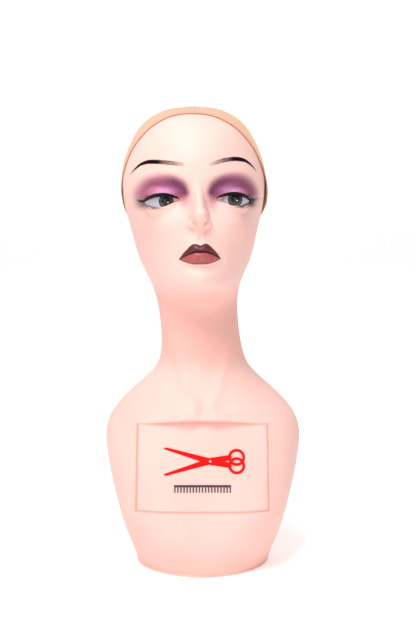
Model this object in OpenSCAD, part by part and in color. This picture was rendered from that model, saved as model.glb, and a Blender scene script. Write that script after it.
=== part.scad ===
// Long-necked wig training head: a hollow moulded bust, glossy eyes, false lashes,
// a stuck-on chest emblem, a removable stretch cap and a screwed-on base plate.
// Millimetres. The bust faces -Y, +Z is up, and the origin lies on the table
// under the middle of the base.

/* [Overall] */
// Height of the crown above the table
head_top = 500; // [450:1:550]
// Wall thickness of the moulded shell
wall = 3; // [2:0.1:3.5]
// Half width of the shoulders at their widest
shoulder_half = 107; // [100:1:115]
// Half width of the long neck
neck_half = 43; // [40:1:46]
// Half width of the skull at its widest
skull_half = 78.9; // [76:0.1:82]

/* [Head pose] */
// Turn of the head about the vertical, towards +X
head_turn = 5; // [0:0.5:8]
// Sideways lean of the head, towards -X at the crown
head_lean = 1; // [0:0.1:2]
// Sideways shift of the head from the middle of the base
head_shift = -7.6; // [-14:0.1:0]

/* [Face] */
// Sideways offset of the features from the middle of the head
face_shift = -1.9; // [-3:0.1:1]
// Distance of each eye's centre from the middle of the face
eye_x = 37.4; // [34:0.1:39]
// Height of the eyes above the table
eye_z = 395; // [390:1:400]
// Radius of each glossy eye
eye_r = 18.5; // [17:0.5:20]
// Height of the tip of the nose
nose_z = 375; // [370:1:380]
// How far the nose stands out
nose_out = 17; // [12:0.5:20]
// Height of the line between the lips
mouth_z = 340; // [336:1:344]

/* [Chest panel] */
// Width of the recessed panel
panel_w = 140; // [120:1:144]
// Height of the recessed panel
panel_h = 91; // [80:1:96]
// Height of the panel's lower edge above the table
panel_z = 68; // [62:1:75]
// Radius of the panel's curved floor
panel_r = 400; // [300:10:600]
// Width of the emblem on the panel
emblem_w = 88; // [60:1:100]

/* [Cap] */
// Gap between the head and the inside of the cap
cap_gap = 1.3; // [0.8:0.1:1.6]
// Turn of the cap on the head, towards the right side of the face
cap_twist = 6.5; // [0:0.5:10]
// Thickness of the cap's fabric
cap_t = 1.1; // [0.8:0.1:2]
// Width of the binding along the cap's edge
band_w = 4; // [3:0.5:8]
// Angle above the horizontal at which the cap pulls off, towards the back
pull_angle = 48; // [44:1:54]

/* [Base] */
// How far the non-slip pad stands out below the plate
pad_proud = 1.2; // [1:0.1:3]
// Distance of the pad's edge inside the base outline
pad_inset = 8; // [6:1:20]
// Thickness of the base plate
plate_t = 2.4; // [2:0.1:4]
// Core radius of the base screws
screw_r = 1.5; // [1.2:0.1:2]
// Length of the base screws
screw_l = 15; // [12:1:18]

/* [Hidden] */

shell_z = pad_proud + plate_t;
skull = skull_half / 78.9;
neck = neck_half / 43;
bust = shoulder_half / 107;

// Level sections up the bust, each one
// [height, half width, front y, back y, y of the widest line, squareness]
SECTIONS = [
    [shell_z, 72.7 * bust, -85, 69, -4, 1.9],
    [12, 75.6 * bust, -87, 71, -4, 1.95],
    [27, 81.2 * bust, -89, 74, -4, 2.2],
    [45, 86.6 * bust, -90, 76, -3, 2.8],
    [64, 91.3 * bust, -88.5, 77.5, -2, 3.5],
    [84, 96.6 * bust, -84.5, 78, -1, 3.5],
    [104, 101.7 * bust, -80, 78, 0, 3.2],
    [122, 105 * bust, -76, 77.5, 2, 2.9],
    [138, shoulder_half, -72.5, 76, 3, 2.7],
    [152, 105.5 * bust, -69, 74.5, 4, 2.5],
    [165, 100 * bust, -64.5, 72, 5, 2.35],
    [178, 90 * bust, -57.5, 69, 6, 2.2],
    [191, 76.5 * bust, -50, 65, 6, 2.1],
    [204, 62 * bust, -44.5, 60, 6, 2.05],
    [217, 50.5 * neck, -41, 55.5, 5, 2],
    [231, 45.5 * neck, -39.5, 51.5, 4, 2],
    [248, 43.3 * neck, -39, 48.5, 4, 2],
    [265, neck_half, -39.5, 47, 4, 2],
    [279, 43.4 * neck, -42, 47, 4, 2],
    [288, 44.4 * neck, -50, 48, 5, 1.9],
    [294, 45.6 * neck, -65, 50, 6, 1.8],
    [300, 47 * skull, -79.5, 52.5, 7, 1.8],
    [308, 49.5 * skull, -86.5, 56, 8, 1.85],
    [318, 54 * skull, -87.5, 62, 9, 1.9],
    [330, 59.6 * skull, -85.5, 71, 11, 1.95],
    [344, 64.4 * skull, -83.5, 82, 12, 2],
    [359, 68 * skull, -82.5, 91, 13, 2.05],
    [375, 72 * skull, -82, 98.5, 15, 2.1],
    [391, 76 * skull, -81.5, 103.5, 16, 2.1],
    [407, 78.2 * skull, -82, 106.5, 17, 2.1],
    [422, skull_half, -82, 107.5, 17, 2.1],
    [437, 76.7 * skull, -80, 106.5, 18, 2.1],
    [451, 72.5 * skull, -75, 102.5, 18, 2.1],
    [464, 66.6 * skull, -67, 95.5, 18, 2.1],
    [475.5, 59.8 * skull, -56.5, 86.5, 18, 2.1],
    [485, 51 * skull, -43, 75, 18, 2.1],
    [492.2, 40 * skull, -27.5, 61, 17, 2.1],
    [497.2, 26.5 * skull, -8, 43, 17, 2.1],
    [head_top, 0, 16, 16, 16, 2.1]
];
LAST = len(SECTIONS) - 1;

function mix(a, b, t) = a + (b - a) * t;
function clamp(v, lo, hi) = min(hi, max(lo, v));
function ease(v, lo, hi) = let (t = clamp((v - lo) / (hi - lo), 0, 1)) t * t * (3 - 2 * t);
function bump(d, w) = exp(-(d / w) * (d / w));
function unit(v) = v / norm(v);

// A smooth curve through the sections at the place t, where whole numbers are the sections
function spline(a, b, c, d, t) =
    b + 0.5 * t * ((c - a) + t * ((2 * a - 5 * b + 4 * c - d) + t * (3 * (b - c) + d - a)));
function crown_back(s) = [s[0], -s[1], 2 * s[4] - s[2], 2 * s[4] - s[3], s[4], s[5]];
function section(t) =
    let (i = min(floor(t), LAST - 1),
         after = i + 2 > LAST ? crown_back(SECTIONS[LAST - 1]) : SECTIONS[i + 2])
    spline(SECTIONS[max(i - 1, 0)], SECTIONS[i], SECTIONS[i + 1], after, t - i);

// A point on a section, where angle 0 is +X, 90 the front and 270 the back
function pow_signed(v, p) = sign(v) * pow(abs(v), p);
function on_section(s, angle, inset) =
    let (n = sin(angle) > 0 ? s[5] : min(s[5], 2.3),
         x = max(s[1] - inset, 0) * pow_signed(cos(angle), 2 / n),
         depth = max(sin(angle) > 0 ? s[4] - s[2] - inset : s[3] - s[4] - inset, 0))
    [x, s[4] - depth * pow_signed(sin(angle), 2 / n), s[0]];

// How far the front stands out of the plain sections at (x, z): nose, lips, chin, cheeks,
// brow, eye sockets and the shelf of the chest above the panel
function nose_height(z) = nose_out * ease(z, nose_z - 17, nose_z - 4)
    * (1 - 0.86 * ease(z, nose_z - 2, nose_z + 38)) * (1 - ease(z, nose_z + 30, nose_z + 62));
function nose(x, z) = nose_height(z) * bump(x, mix(9, 6.5, ease(z, nose_z - 8, nose_z + 15)));
function lips(x, z) =
    4.5 * bump(x, 18) * (bump(z - mouth_z - 4.5, 4.5) + bump(z - mouth_z + 6, 5));
function chin(x, z) = 3.5 * bump(x, 20) * bump(z - mouth_z + 27, 10);
function cheek(x, z) = 2 * bump(abs(x) - 42, 18) * bump(z - 366, 20);
function shelf(x, z) = 3.6 * bump(x, 42) * ease(z, 148, 165) * (1 - ease(z, 168, 196));
function brow(x, z) = 1.5 * bump(abs(x) - 30, 22) * bump(z - eye_z - 28, 12);
function socket(x, z) = -6.5 * bump(abs(x) - eye_x + 3, 19) * bump(z - eye_z - 1, 11);
function relief(x, z) =
    nose(x, z) + lips(x, z) + chin(x, z) + cheek(x, z) + brow(x, z) + socket(x, z) + shelf(x, z);

// Room behind the chest panel, so that the wall keeps its thickness there
function behind_panel(x, z) = 7 * ease(z, panel_z - 12, panel_z + 75)
    * (1 - ease(z, panel_z + panel_h + 4, panel_z + panel_h + 22)) * (1 - ease(abs(x), 66, 96));

// The head's turn, lean and shift grow up the neck
function posed(p) =
    let (k = ease(p[2], 205, 325), turn = head_turn * k,
         x = p[0] * cos(turn) - p[1] * sin(turn), y = p[0] * sin(turn) + p[1] * cos(turn),
         lean = max(p[2] - 325, 0) * sin(head_lean))
    [x + head_shift * k - lean, y, p[2] + p[0] * sin(head_lean) * k];

function outer_point(t, angle) =
    let (p = on_section(section(t), angle, 0), front = ease(sin(angle), 0.15, 0.6))
    posed([p[0], p[1] - relief(p[0] - face_shift, p[2]) * front, p[2]]);
function inner_point(t, angle) =
    let (p = on_section(section(t), angle, wall), front = ease(sin(angle), 0.15, 0.6),
         dent = min(relief(p[0] - face_shift, p[2]), 0) * front)
    posed([p[0], p[1] - dent + behind_panel(p[0], p[2]) * front, min(p[2], head_top - wall)]);

// Faces over a grid of rows by columns: round closes the columns, and the last row is one point
function grid_faces(rows, cols, start, round, out) =
    [for (i = [0 : rows - 2], j = [0 : cols - (round ? 1 : 2)])
        let (a = start + i * cols + j, b = start + i * cols + (j + 1) % cols,
             d = i == rows - 2 ? start + (rows - 1) * cols : a + cols,
             c = i == rows - 2 ? d : b + cols)
        each out ? [[a, b, c], [a, c, d]] : [[a, c, b], [a, d, c]]];
function wall_faces(outer, inner) =
    [for (k = [0 : len(outer) - 2])
        each [[outer[k], outer[k + 1], inner[k + 1]], [outer[k], inner[k + 1], inner[k]]]];
function real_faces(faces) = [for (f = faces) if (f[0] != f[1] && f[1] != f[2] && f[0] != f[2]) f];

ROWS = 2 * LAST + 1;
COLS = 60;
IN_ROWS = LAST + 1;
IN_COLS = 30;

module shell_wall() {
    outer = [for (i = [0 : ROWS - 1], j = [0 : COLS - 1]) outer_point(i / 2, j * 360 / COLS)];
    inner = [for (i = [0 : IN_ROWS - 1], j = [0 : IN_COLS - 1])
        inner_point(i == IN_ROWS - 2 ? i - 0.35 : i, j * 360 / IN_COLS)];
    n = len(outer);
    rim = [for (j = [0 : IN_COLS - 1])
        let (a = 2 * j, b = 2 * j + 1, c = (2 * j + 2) % COLS, d = n + j,
             e = n + (j + 1) % IN_COLS)
        each [[a, d, b], [b, d, e], [b, e, c]]];
    polyhedron(concat(outer, inner), real_faces(concat(
        grid_faces(ROWS, COLS, 0, true, true),
        grid_faces(IN_ROWS, IN_COLS, n, true, false), rim)), convexity = 10);
}

// The chest panel: x across, y up its slope, z straight out of its floor
floor_tilt = 15.7;
floor_y = -74.8;
module on_panel() {
    translate([0, floor_y, panel_z + panel_h / 2]) rotate([90 - floor_tilt, 0, 0]) children();
}
module floor_roll(r) {
    translate([0, 0, -panel_r]) rotate([90, 0, 0]) cylinder(h = 2 * panel_h, r = r, center = true);
}
module panel_recess() {
    draft = 1.3;
    on_panel() difference() {
        translate([0, 0, -14]) linear_extrude(height = 60, scale = draft)
            square([panel_w * 0.94, panel_h * 0.93], center = true);
        floor_roll(panel_r, $fn = 360);
    }
}

module bust_shell() {
    color([0.95, 0.76, 0.71]) resize([0, 0, 0]) difference() {
        shell_wall();
        panel_recess();
    }
}

// Puts a piece made at height z in the head's own frame where the posed head is
module on_head(z) {
    translate([head_shift - (z - 325) * sin(head_lean), 0, z])
        rotate([0, 0, head_turn]) rotate([0, -head_lean, 0]) translate([0, 0, -z]) children();
}

eye_y = -52;
eye_w = 38;
eye_h = 17;
eye_out = 12;
module at_eye(side) {
    on_head(eye_z) translate([side * eye_x + face_shift, eye_y, eye_z]) rotate([0, 0, side * eye_out]) children();
}
module almond(w, h) {
    r = (w * w + h * h) / (4 * h);
    intersection() {
        translate([0, h / 2 - r]) circle(r);
        translate([0, r - h / 2]) circle(r);
    }
}
module eye(side) {
    color([0.86, 0.86, 0.9]) at_eye(side) intersection() {
        sphere(eye_r, $fn = 96);
        translate([0, -8, 0]) rotate([90, 0, 0])
            linear_extrude(height = eye_r) almond(eye_w, eye_h, $fn = 96);
    }
}

// A strip of lashes: a thin fan along a lid, drop above or below the eye's middle
lash_t = 0.5;
module lashes(side, drop, reach, tilt, spread) {
    color([0.08, 0.06, 0.06]) at_eye(side) translate([0, 0, drop]) rotate([tilt, 0, 0])
        rotate([0, 0, -90 - spread / 2 + side * 8])
            rotate_extrude(angle = spread, $fn = 72) translate([eye_r - 0.8, 0]) square([reach, lash_t]);
}

module scissor_half() {
    polygon([[4, -3.2], [4, 3.6], [-50, 0.9], [-51, -0.4], [-48, -1.6]]);
    polygon([[0, -3.2], [0, 3.6], [20, 1.2], [24, -1.5], [20, -4.5]]);
    translate([28, -3.5]) difference() {
        circle(9, $fn = 64);
        circle(6, $fn = 64);
    }
}
module scissors_outline() {
    difference() {
        union() {
            rotate(16) scissor_half();
            mirror([0, 1]) rotate(16) scissor_half();
        }
        circle(1.3, $fn = 32);
    }
}
module comb_outline(w, teeth) {
    pitch = w / teeth;
    translate([-w / 2 - 1, 0]) square([w + 2, 2.4]);
    for (k = [0 : teeth]) translate([-w / 2 + k * pitch - 0.7, -5.5]) square([1.4, 5.7]);
}
emblem_t = 0.4;
module on_floor() {
    on_panel() intersection() {
        linear_extrude(height = 20, center = true) children();
        difference() {
            floor_roll(panel_r + emblem_t, $fn = 360);
            floor_roll(panel_r, $fn = 360);
        }
    }
}
emblem_k = emblem_w / 88;
module emblem_scissors() {
    color([0.95, 0.1, 0.06]) on_floor() translate([8 * emblem_k, 8]) scale(emblem_k) scissors_outline();
}
module emblem_comb() {
    color([0.25, 0.25, 0.26]) on_floor() translate([0, -19]) comb_outline(58 * emblem_k, 18);
}

// Outline of the base at a distance inside the shell's outer skin
function base_outline(inset) =
    [for (j = [0 : COLS - 1]) let (p = on_section(SECTIONS[0], j * 360 / COLS, inset)) [p[0], p[1]]];
SCREWS = [[60, -6, 0], [0, 52, 90], [-60, -6, 180], [0, -69, 270]];
pad_sunk = 1;
pad_hole_r = 6;
block_r = 7;
block_h = 17;
block_reach = 11.6;
screw_head = 3.6;
screw_head_h = 2;
fit_gap = 0.3;
module pad_body() {
    linear_extrude(height = pad_proud + pad_sunk) difference() {
        polygon(base_outline(pad_inset));
        for (s = SCREWS) translate([s[0], s[1]]) circle(pad_hole_r, $fn = 64);
    }
}
module base_plate() {
    spigot_h = 5;
    color([0.93, 0.62, 0.52]) difference() {
        union() {
            translate([0, 0, pad_proud]) linear_extrude(height = plate_t) polygon(base_outline(0));
            translate([0, 0, shell_z]) linear_extrude(height = spigot_h) difference() {
                polygon(base_outline(wall + fit_gap));
                polygon(base_outline(wall + fit_gap + 2));
            }
        }
        for (s = SCREWS) translate([s[0], s[1], pad_proud - 1]) {
            cylinder(h = plate_t + 2, r = screw_r + 0.3, $fn = 32);
            translate([0, 0, 1]) cylinder(h = screw_head_h, r1 = screw_head + 0.1, r2 = screw_r + 0.3, $fn = 32);
        }
        for (s = SCREWS) translate([s[0], s[1], shell_z]) rotate([0, 0, s[2]])
            translate([-block_r - 1, -block_r - 1, 0])
                cube([2 * block_r + 8, 2 * block_r + 2, spigot_h + 1]);
        pad_body();
    }
}
module screw_block() {
    difference() {
        union() {
            cylinder(h = block_h, r = block_r, $fn = 48);
            translate([0, -block_r, 0]) cube([block_reach, 2 * block_r, block_h]);
        }
        translate([0, 0, -1]) cylinder(h = block_h - 2, r = screw_r, $fn = 32);
    }
}
module screw_blocks() {
    color([0.9, 0.88, 0.84]) for (s = SCREWS)
        translate([s[0], s[1], shell_z]) rotate([0, 0, s[2]]) screw_block();
}
module base_screw() {
    difference() {
        union() {
            cylinder(h = screw_head_h, r1 = screw_head, r2 = screw_r, $fn = 32);
            cylinder(h = screw_l, r = screw_r, $fn = 32);
        }
        for (turn = [0, 90]) rotate([0, 0, turn]) translate([-1.8, -0.4, -1]) cube([3.6, 0.8, 2]);
    }
}
module base_screws() {
    color("silver") for (s = SCREWS) translate([s[0], s[1], pad_proud]) base_screw();
}
module non_slip_pad() { color([0.2, 0.2, 0.2]) pad_body(); }

// The cap's edge, in the head's own frame: its height over the angle round the cap,
// where 90 is the hairline, 0 the side and -90 the nape
EDGE = [[-90, 354], [-60, 358], [-20, 374], [-2.5, 389], [4.5, 399], [10.5, 411], [15.5, 422.5],
        [20, 432], [23.5, 440.5], [28, 451], [33, 458.5], [39, 466.5], [44.5, 472.3], [51, 477],
        [57.5, 480.8], [64, 483.6], [71, 485.4], [80, 486.7], [90, 487]];
SKULL = [for (s = SECTIONS) if (s[0] > 320) s];
function column(k) = [for (s = SKULL) [s[0], s[k]]];
HALF = column(1);
FRONT = column(2);
BACK = column(3);
WIDEST = column(4);
squareness = 2.1;
function bare(t, angle) = on_section(section(t), angle, 0);
function edge_z(angle) =
    let (turn = angle - cap_twist + 90)
    lookup(90 - abs(turn - 360 * floor(turn / 360) - 180), EDGE);
function edge_place(angle, lo, hi, n) =
    n == 0 ? (lo + hi) / 2
    : let (m = (lo + hi) / 2)
      section(m)[0] > edge_z(angle) ? edge_place(angle, lo, m, n - 1) : edge_place(angle, m, hi, n - 1);
function outward(t, angle) =
    let (u = min(t, LAST - 0.03), a = bare(u, angle + 0.5) - bare(u, angle - 0.5),
         b = bare(u + 0.02, angle) - bare(u - 0.02, angle))
    t > LAST - 0.02 ? [0, 0, 1] : unit(cross(b, a));
function head_half(y, z) =
    let (mid = lookup(z, WIDEST), depth = y < mid ? mid - lookup(z, FRONT) : lookup(z, BACK) - mid,
         share = depth > 0 ? abs(y - mid) / depth : 1)
    z > head_top || share >= 1 ? 0
    : lookup(z, HALF) * pow(1 - pow(share, squareness), 1 / squareness);
function path_half(y, z) =
    max([for (d = [0 : 6 : 90]) head_half(y + d * cos(pull_angle), z + d * sin(pull_angle))]);
function cap_point(t, angle, level) =
    let (p = bare(t, angle), out = outward(t, angle), q = p + out * cap_gap,
         clear = path_half(q[1], q[2]) + cap_gap,
         x = abs(q[0]) > 30 ? sign(q[0]) * max(abs(q[0]), clear) : q[0])
    posed([x, q[1], q[2]] + out * level);

CAP_ROWS = 15;
CAP_COLS = 31;
PANEL_ANGLES = [for (j = [0 : CAP_COLS - 1]) 90 + j * 180 / (CAP_COLS - 1)];
function edge_t(angle) = edge_place(angle, 20, LAST - 0.1, 14);
function band_t(angle) =
    let (t = edge_t(angle), step = norm(bare(t + 0.1, angle) - bare(t, angle)) / 0.1)
    t + band_w / step;
module cap_panel(side) {
    function layer(level) =
        [for (i = [0 : CAP_ROWS - 1], a = PANEL_ANGLES)
            let (angle = side < 0 ? a : 180 - a, t = mix(band_t(angle), LAST, i / (CAP_ROWS - 1)))
            cap_point(t, angle, level)];
    n = CAP_ROWS * CAP_COLS;
    apex = n - CAP_COLS;
    seam_a = [for (i = [0 : CAP_ROWS - 2]) i * CAP_COLS];
    seam_b = [for (i = [0 : CAP_ROWS - 2]) i * CAP_COLS + CAP_COLS - 1];
    loop = concat([for (j = [0 : CAP_COLS - 1]) CAP_COLS - 1 - j], [for (k = seam_a) if (k > 0) k], [apex],
        [for (k = [0 : CAP_ROWS - 2]) seam_b[CAP_ROWS - 2 - k]]);
    faces = concat(grid_faces(CAP_ROWS, CAP_COLS, 0, false, side < 0),
        grid_faces(CAP_ROWS, CAP_COLS, n, false, side > 0),
        side < 0 ? wall_faces(loop, [for (k = loop) n + k])
                 : wall_faces([for (k = loop) n + k], loop));
    polyhedron(concat(layer(cap_t), layer(0)), real_faces(faces), convexity = 6);
}
module cap_left_panel() { color([0.85, 0.66, 0.5]) cap_panel(1); }
module cap_right_panel() { color([0.85, 0.66, 0.5]) cap_panel(-1); }
module cap_edge_band() {
    angles = concat(PANEL_ANGLES,
        [for (j = [1 : CAP_COLS - 2]) let (a = PANEL_ANGLES[CAP_COLS - 1 - j]) 180 - a]);
    band_extra = 0.35;
    cols = len(angles);
    ring = function(t_of, level) [for (a = angles) cap_point(t_of(a), a, level)];
    low = function(a) edge_t(a);
    high = function(a) band_t(a);
    points = concat(ring(low, 0), ring(low, cap_t + band_extra), ring(high, cap_t + band_extra), ring(high, 0));
    color([0.78, 0.52, 0.38]) polyhedron(points, [for (k = [0 : 3], j = [0 : cols - 1])
        let (a = k * cols + j, b = k * cols + (j + 1) % cols, m = (k + 1) % 4,
             d = m * cols + j, c = m * cols + (j + 1) % cols)
        each [[a, b, c], [a, c, d]]], convexity = 6);
}

bust_shell();
eye(1);  // left_eye
eye(-1);  // right_eye
lashes(1, 6, 9, -8, 104);  // left_upper_lashes
lashes(-1, 6, 9, -8, 104);  // right_upper_lashes
lashes(1, -6, 5, 14, 96);  // left_lower_lashes
lashes(-1, -6, 5, 14, 96);  // right_lower_lashes
emblem_scissors();
emblem_comb();
base_plate();
screw_blocks();
base_screws();
non_slip_pad();
cap_left_panel();
cap_right_panel();
cap_edge_band();
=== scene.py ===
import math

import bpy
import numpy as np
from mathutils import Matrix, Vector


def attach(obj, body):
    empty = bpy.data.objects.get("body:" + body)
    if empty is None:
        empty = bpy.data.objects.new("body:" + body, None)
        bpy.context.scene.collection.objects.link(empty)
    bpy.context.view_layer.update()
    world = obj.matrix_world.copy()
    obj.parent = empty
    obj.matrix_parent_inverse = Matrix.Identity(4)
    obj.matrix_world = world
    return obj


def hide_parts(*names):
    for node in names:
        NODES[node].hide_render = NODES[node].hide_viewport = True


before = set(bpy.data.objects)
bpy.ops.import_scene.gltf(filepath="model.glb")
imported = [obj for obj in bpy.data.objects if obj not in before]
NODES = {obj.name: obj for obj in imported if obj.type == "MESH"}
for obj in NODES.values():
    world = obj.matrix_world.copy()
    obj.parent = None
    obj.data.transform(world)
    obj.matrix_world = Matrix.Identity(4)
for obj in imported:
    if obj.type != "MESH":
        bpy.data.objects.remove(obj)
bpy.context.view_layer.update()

# %% [markdown]
# # A wig training head
# The object is a hollow vinyl bust on a long neck. Its face is painted, its eyes are glossy,
# its lashes are strips of hair, and a tan stretch cap covers the crown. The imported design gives
# the places and sizes. This lesson gives every visible piece its final surface and finish.
# Shapes are worked out in millimetres, because a face is easiest to think of in millimetres,
# and every mesh is scaled to metres as it is made.

MM = 0.001

# %% [markdown]
# ## Small helpers
# Every shape here is a formula over arrays of points. `ease` is a soft step, `bump` is a round
# hill, and `smooth_max` joins two surfaces with a fillet, as clay is smoothed with a thumb.

# %% Helpers for soft shapes
def ease(v, lo, hi):
    t = np.clip((v - lo) / (hi - lo), 0, 1)
    return t * t * (3 - 2 * t)


def bump(d, width):
    return np.exp(-((d / width) ** 2))


def mix(a, b, t):
    return a + (b - a) * t


def smooth_max(a, b, fillet):
    gap = np.clip(0.5 + 0.5 * (a - b) / fillet, 0, 1)
    return mix(b, a, gap) + fillet * gap * (1 - gap)


def through(points, at):
    """A smooth curve through given points, as height over place."""
    x, y = np.array(points, float).T
    chord = np.diff(y) / np.diff(x)
    same_way = chord[:-1] * chord[1:] > 0
    middle = np.where(same_way, 2 * chord[:-1] * chord[1:] / (chord[:-1] + chord[1:] + 1e-12), 0)
    slope = np.concatenate([[chord[0]], middle, [chord[-1]]])
    at = np.clip(at, x[0], x[-1])
    i = np.clip(np.searchsorted(x, at) - 1, 0, len(x) - 2)
    h = x[i + 1] - x[i]
    t = (at - x[i]) / h
    return ((1 + 2 * t) * (1 - t) ** 2 * y[i] + t * (1 - t) ** 2 * h * slope[i]
            + t * t * (3 - 2 * t) * y[i + 1] - t * t * (1 - t) * h * slope[i + 1])


# %% [markdown]
# ## The bust's level sections
# A tall smooth body is easiest to hold as level slices. Each slice is a squarish oval with its
# own width, front, back and widest line. They are the sections that the design is built from,
# so the visible skin lies on the design's skin.

# %% Sections of the bust
HEAD_TOP, SHELL_Z, WALL = 500.0, 3.6, 3.0
SECTIONS = np.array([
    # height, half width, front y, back y, y of the widest line, squareness
    [SHELL_Z, 72.7, -85, 69, -4, 1.9], [12, 75.6, -87, 71, -4, 1.95], [27, 81.2, -89, 74, -4, 2.2],
    [45, 86.6, -90, 76, -3, 2.8], [64, 91.3, -88.5, 77.5, -2, 3.5], [84, 96.6, -84.5, 78, -1, 3.5],
    [104, 101.7, -80, 78, 0, 3.2], [122, 105, -76, 77.5, 2, 2.9], [138, 107, -72.5, 76, 3, 2.7],
    [152, 105.5, -69, 74.5, 4, 2.5], [165, 100, -64.5, 72, 5, 2.35],
    [178, 90, -57.5, 69, 6, 2.2], [191, 76.5, -50, 65, 6, 2.1], [204, 62, -44.5, 60, 6, 2.05],
    [217, 50.5, -41, 55.5, 5, 2], [231, 45.5, -39.5, 51.5, 4, 2], [248, 43.3, -39, 48.5, 4, 2],
    [265, 43, -39.5, 47, 4, 2], [279, 43.4, -42, 47, 4, 2], [288, 44.4, -50, 48, 5, 1.9],
    [294, 45.6, -65, 50, 6, 1.8], [300, 47, -79.5, 52.5, 7, 1.8], [308, 49.5, -86.5, 56, 8, 1.85],
    [318, 54, -87.5, 62, 9, 1.9], [330, 59.6, -85.5, 71, 11, 1.95], [344, 64.4, -83.5, 82, 12, 2],
    [359, 68, -82.5, 91, 13, 2.05], [375, 72, -82, 98.5, 15, 2.1], [391, 76, -81.5, 103.5, 16, 2.1],
    [407, 78.2, -82, 106.5, 17, 2.1], [422, 78.9, -82, 107.5, 17, 2.1],
    [437, 76.7, -80, 106.5, 18, 2.1], [451, 72.5, -75, 102.5, 18, 2.1],
    [464, 66.6, -67, 95.5, 18, 2.1], [475.5, 59.8, -56.5, 86.5, 18, 2.1],
    [485, 51, -43, 75, 18, 2.1], [492.2, 40, -27.5, 61, 17, 2.1],
    [497.2, 26.5, -8, 43, 17, 2.1], [HEAD_TOP, 0, 16, 16, 16, 2.1]])
LAST = len(SECTIONS) - 1


def section(t):
    """The section at place t, where whole numbers are the rows of SECTIONS."""
    i = np.minimum(np.floor(t).astype(int), LAST - 1)
    near = SECTIONS[LAST - 1]
    over_the_top = [near[0], -near[1], 2 * near[4] - near[2], 2 * near[4] - near[3], near[4], near[5]]
    rows = np.vstack([SECTIONS, over_the_top])
    a, b, c, d = rows[np.maximum(i - 1, 0)], rows[i], rows[i + 1], rows[i + 2]
    f = (t - i)[..., None]
    return b + 0.5 * f * ((c - a) + f * ((2 * a - 5 * b + 4 * c - d) + f * (3 * (b - c) + d - a)))


def section_at_height(z):
    fine = np.linspace(0, LAST, 4000)
    return section(np.interp(z, section(fine)[:, 0], fine))


print("sections:", len(SECTIONS), "from", SHELL_Z, "to", HEAD_TOP, "mm")

# %% [markdown]
# ## Sculpting the face
# The face is a relief on the front of the egg-shaped head. Each feature is a small formula in the
# head's own frame: x across from the middle of the face, z up. `front` is how far the plain egg
# stands towards the viewer, and each feature adds to it or cuts into it.

# %% Sizes of the face
EYE_X, EYE_Z = 37.4, 395.0
BALL_R, BALL_FRONT = 18.5, 70.5
LID = 1.3
NOSE_TIP_Z = 379.5
MOUTH_Z = 341.0
FACE_X = -1.9
# Half an eye opening, from the inner corner to the outer one: (u outward from its middle, height)
UPPER_LID = [(-18.6, 0.9), (-14, 2.7), (-8, 3.9), (-1, 4.2), (6, 3.5), (12, 1.9), (18.3, -1.4)]
LOWER_LID = [(-18.6, 0.7), (-15, -0.9), (-8, -4.0), (0, -6.4), (7, -6.2), (13, -4.5), (18.3, -1.6)]
# Lips over half the mouth, from the middle to the corner: (x, height above the middle of the line)
LIP_LINE = [(0, 0), (4, 0.3), (9, -0.9), (14, -3.0), (18, -5.2), (21.4, -7.2)]
UPPER_LIP = [(0, 7.0), (2.5, 8.2), (5.6, 9.0), (9, 7.6), (14, 2.9), (18, -1.6), (21.4, -6.6)]
LOWER_LIP = [(0, -12.6), (6, -12.5), (11, -11.6), (16, -9.9), (21.4, -7.6)]


def eye_field(x, z):
    """(u, w, signed distance inside the eye opening) for the nearer eye."""
    u, w = np.abs(x) - EYE_X, z - EYE_Z
    top, low = through(UPPER_LID, u), through(LOWER_LID, u)
    ends = 18.5 - np.abs(u)
    return u, w, np.minimum(np.minimum(top - w, w - low), ends)


def lip_field(x, z):
    """(signed distance inside the lips, height above the line between them)."""
    a, w = np.abs(x), z - MOUTH_Z
    top, low, line = (through(curve, a) for curve in (UPPER_LIP, LOWER_LIP, LIP_LINE))
    return np.minimum(np.minimum(top - w, w - low), 21.6 - a), w - line, top - line, line - low


# %% Nose, eyes and mouth as heights
def ball(x, z, x0, z0, r, front, stretch=1.0):
    """Height of a ball's front, and far behind the face outside it."""
    d = r * r - (x - x0) ** 2 - ((z - z0) / stretch) ** 2
    return front - r + np.where(d > 0, np.sqrt(np.maximum(d, 0)), -2.0 * np.sqrt(np.maximum(-d, 0)))


def nostril(x, z):
    """A slanted oval that is 1 in the middle of each nostril."""
    a, w = np.abs(x) - 5.7, z - 370.4
    return bump(0.8 * a + 0.6 * w, 2.9) * bump(0.8 * w - 0.6 * a, 1.35)


def add_nose(h, x, z):
    ridge_front = through([(352, 78), (360, 82.5), (366, 87.5), (372, 93.5), (377, 97.8),
                           (NOSE_TIP_Z, 98.8), (386, 95.6), (393, 90.6), (400, 86.6), (408, 83.4),
                           (417, 81.6), (425, 80)], z)
    ridge_r = through([(352, 5), (360, 7.6), (368, 8.8), (NOSE_TIP_Z, 7.0), (390, 5.8), (400, 6.0),
                       (410, 8), (425, 13)], z)
    gap = np.abs(x) / ridge_r
    ridge = ridge_front - ridge_r * (np.sqrt(1 + (1.25 * gap) ** 2.6) - 1) * 1.55
    fade = ease(z, 354, 364) * (1 - ease(z, 404, 424))
    h = mix(h, smooth_max(h, ridge, 3.5), fade)
    h = smooth_max(h, ball(x, z, 0, NOSE_TIP_Z + 0.4, 7.2, 99.0), 2.4)
    wing = ball(np.abs(x), z, 8.0, 369.8, 4.6, 85.6, 1.0)
    h = smooth_max(h, wing, 7.0)
    h -= 2.2 * nostril(x, z)
    return h


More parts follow.
